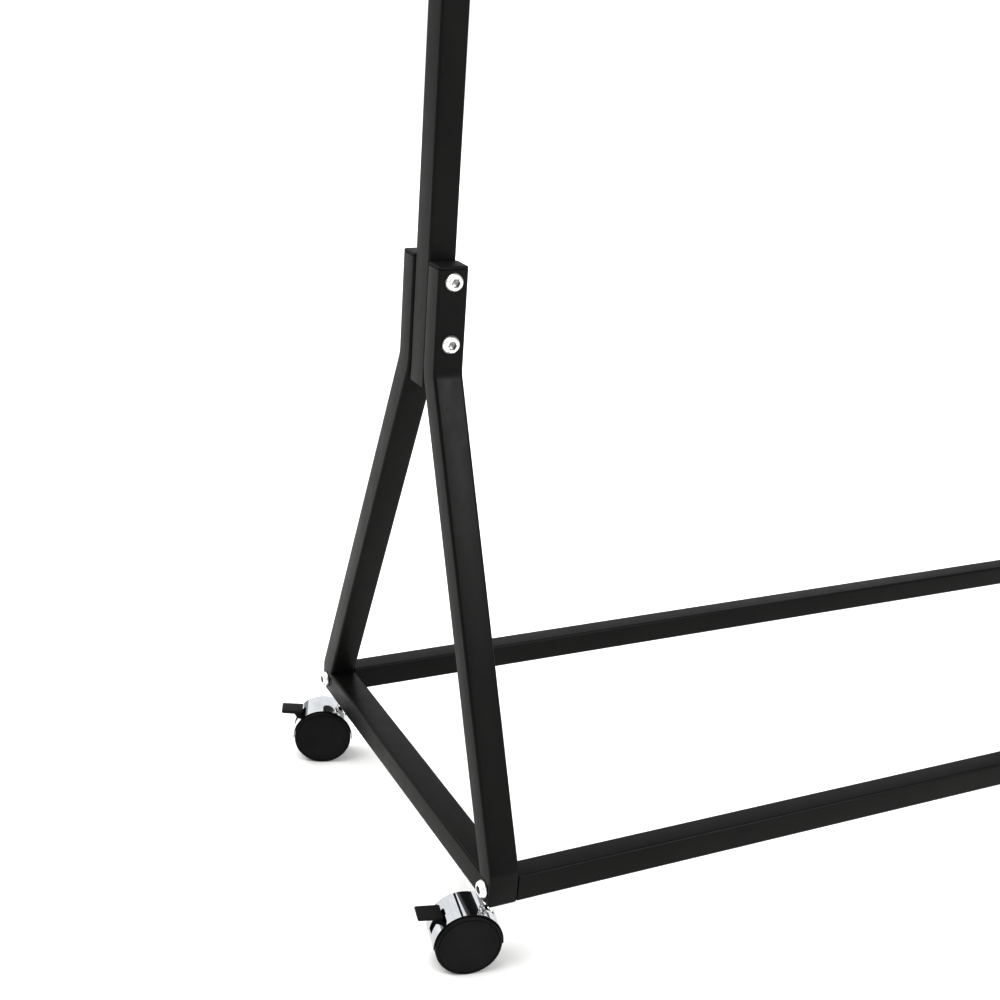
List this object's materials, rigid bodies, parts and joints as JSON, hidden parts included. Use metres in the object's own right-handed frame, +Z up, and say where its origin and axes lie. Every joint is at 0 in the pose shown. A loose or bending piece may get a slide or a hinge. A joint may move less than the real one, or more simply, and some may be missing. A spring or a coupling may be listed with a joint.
{
  "type": "pegboard display stand",
  "caption": "Rolling pegboard display stand: bent-tube end frames on braked twin-wheel casters, long base rails, and a framed pegboard between two posts.",
  "frame": {"origin": "on the floor, under the middle of the stand", "axes": "+X along the pegboard, +Y from the side with the post bolts' heads to the other side, +Z up"},
  "size_m": [1.3504, 0.372, 1.653],
  "materials": {
    "powder_coat": "satin black powder coat with a fine texture",
    "cap_plastic": "matt black moulded plastic",
    "caster_plastic": "satin black moulded nylon",
    "chrome": "bright chrome plate",
    "zinc": "bright zinc plate",
    "hardboard": "white painted hardboard"
  },
  "bodies": {
    "stand": {"left_end_rail": "powder_coat", "left_post": "powder_coat", "left_post_cap": "cap_plastic", "left_front_leg": "powder_coat", "left_front_leg_cap": "cap_plastic", "left_rear_leg": "powder_coat", "left_rear_leg_cap": "cap_plastic", "left_post_bolt_upper": "zinc", "left_post_bolt_lower": "zinc", "left_corner_bolt_front": "zinc", "left_corner_bolt_rear": "zinc", "left_panel_bolt_lower": "zinc", "left_panel_bolt_upper": "zinc", "right_end_rail": "powder_coat", "right_post": "powder_coat", "right_post_cap": "cap_plastic", "right_front_leg": "powder_coat", "right_front_leg_cap": "cap_plastic", "right_rear_leg": "powder_coat", "right_rear_leg_cap": "cap_plastic", "right_post_bolt_upper": "zinc", "right_post_bolt_lower": "zinc", "right_corner_bolt_front": "zinc", "right_corner_bolt_rear": "zinc", "right_panel_bolt_lower": "zinc", "right_panel_bolt_upper": "zinc", "front_long_rail": "powder_coat", "rear_long_rail": "powder_coat", "panel_rail_lower": "powder_coat", "panel_rail_upper": "powder_coat", "pegboard": "hardboard", "caster_front_left_stem": "zinc", "caster_rear_left_stem": "zinc", "caster_front_right_stem": "zinc", "caster_rear_right_stem": "zinc"},
    "swivel_front_left": {"caster_front_left_hood": "chrome", "caster_front_left_core": "caster_plastic", "caster_front_left_axle": "zinc"},
    "wheel_a_front_left": {"caster_front_left_wheel_a": "caster_plastic"},
    "wheel_b_front_left": {"caster_front_left_wheel_b": "caster_plastic"},
    "brake_front_left": {"caster_front_left_brake": "caster_plastic"},
    "swivel_rear_left": {"caster_rear_left_hood": "chrome", "caster_rear_left_core": "caster_plastic", "caster_rear_left_axle": "zinc"},
    "wheel_a_rear_left": {"caster_rear_left_wheel_a": "caster_plastic"},
    "wheel_b_rear_left": {"caster_rear_left_wheel_b": "caster_plastic"},
    "brake_rear_left": {"caster_rear_left_brake": "caster_plastic"},
    "swivel_front_right": {"caster_front_right_hood": "chrome", "caster_front_right_core": "caster_plastic", "caster_front_right_axle": "zinc"},
    "wheel_a_front_right": {"caster_front_right_wheel_a": "caster_plastic"},
    "wheel_b_front_right": {"caster_front_right_wheel_b": "caster_plastic"},
    "brake_front_right": {"caster_front_right_brake": "caster_plastic"},
    "swivel_rear_right": {"caster_rear_right_hood": "chrome", "caster_rear_right_core": "caster_plastic", "caster_rear_right_axle": "zinc"},
    "wheel_a_rear_right": {"caster_rear_right_wheel_a": "caster_plastic"},
    "wheel_b_rear_right": {"caster_rear_right_wheel_b": "caster_plastic"},
    "brake_rear_right": {"caster_rear_right_brake": "caster_plastic"}
  },
  "joints": [
    {"name": "swivel_front_left_turn", "type": "hinge", "parent": "stand", "child": "swivel_front_left", "pos_m": [-0.6205, -0.156, 0.05], "axis": [0, 0, 1], "continuous": true},
    {"name": "wheel_a_front_left_roll", "type": "hinge", "parent": "swivel_front_left", "child": "wheel_a_front_left", "pos_m": [-0.63713, -0.15247, 0.025], "axis": [-0.2079, -0.9781, 0], "continuous": true},
    {"name": "wheel_b_front_left_roll", "type": "hinge", "parent": "swivel_front_left", "child": "wheel_b_front_left", "pos_m": [-0.63713, -0.15247, 0.025], "axis": [-0.2079, -0.9781, 0], "continuous": true},
    {"name": "brake_front_left_press", "type": "hinge", "parent": "swivel_front_left", "child": "brake_front_left", "pos_m": [-0.65082, -0.14955, 0.036], "axis": [-0.2079, -0.9781, 0], "range_deg": [0, 18]},
    {"name": "swivel_rear_left_turn", "type": "hinge", "parent": "stand", "child": "swivel_rear_left", "pos_m": [-0.6205, 0.156, 0.05], "axis": [0, 0, 1], "continuous": true},
    {"name": "wheel_a_rear_left_roll", "type": "hinge", "parent": "swivel_rear_left", "child": "wheel_a_rear_left", "pos_m": [-0.63637, 0.16209, 0.025], "axis": [-0.3584, -0.9336, 0], "continuous": true},
    {"name": "wheel_b_rear_left_roll", "type": "hinge", "parent": "swivel_rear_left", "child": "wheel_b_rear_left", "pos_m": [-0.63637, 0.16209, 0.025], "axis": [-0.3584, -0.9336, 0], "continuous": true},
    {"name": "brake_rear_left_press", "type": "hinge", "parent": "swivel_rear_left", "child": "brake_rear_left", "pos_m": [-0.64944, 0.16711, 0.036], "axis": [-0.3584, -0.9336, 0], "range_deg": [0, 18]},
    {"name": "swivel_front_right_turn", "type": "hinge", "parent": "stand", "child": "swivel_front_right", "pos_m": [0.6205, -0.156, 0.05], "axis": [0, 0, 1], "continuous": true},
    {"name": "wheel_a_front_right_roll", "type": "hinge", "parent": "swivel_front_right", "child": "wheel_a_front_right", "pos_m": [0.63637, -0.16209, 0.025], "axis": [0.3584, 0.9336, 0], "continuous": true},
    {"name": "wheel_b_front_right_roll", "type": "hinge", "parent": "swivel_front_right", "child": "wheel_b_front_right", "pos_m": [0.63637, -0.16209, 0.025], "axis": [0.3584, 0.9336, 0], "continuous": true},
    {"name": "brake_front_right_press", "type": "hinge", "parent": "swivel_front_right", "child": "brake_front_right", "pos_m": [0.64944, -0.16711, 0.036], "axis": [0.3584, 0.9336, 0], "range_deg": [0, 18]},
    {"name": "swivel_rear_right_turn", "type": "hinge", "parent": "stand", "child": "swivel_rear_right", "pos_m": [0.6205, 0.156, 0.05], "axis": [0, 0, 1], "continuous": true},
    {"name": "wheel_a_rear_right_roll", "type": "hinge", "parent": "swivel_rear_right", "child": "wheel_a_rear_right", "pos_m": [0.63713, 0.15247, 0.025], "axis": [0.2079, 0.9781, 0], "continuous": true},
    {"name": "wheel_b_rear_right_roll", "type": "hinge", "parent": "swivel_rear_right", "child": "wheel_b_rear_right", "pos_m": [0.63713, 0.15247, 0.025], "axis": [0.2079, 0.9781, 0], "continuous": true},
    {"name": "brake_rear_right_press", "type": "hinge", "parent": "swivel_rear_right", "child": "brake_rear_right", "pos_m": [0.65082, 0.14955, 0.036], "axis": [0.2079, 0.9781, 0], "range_deg": [0, 18]}
  ]
}
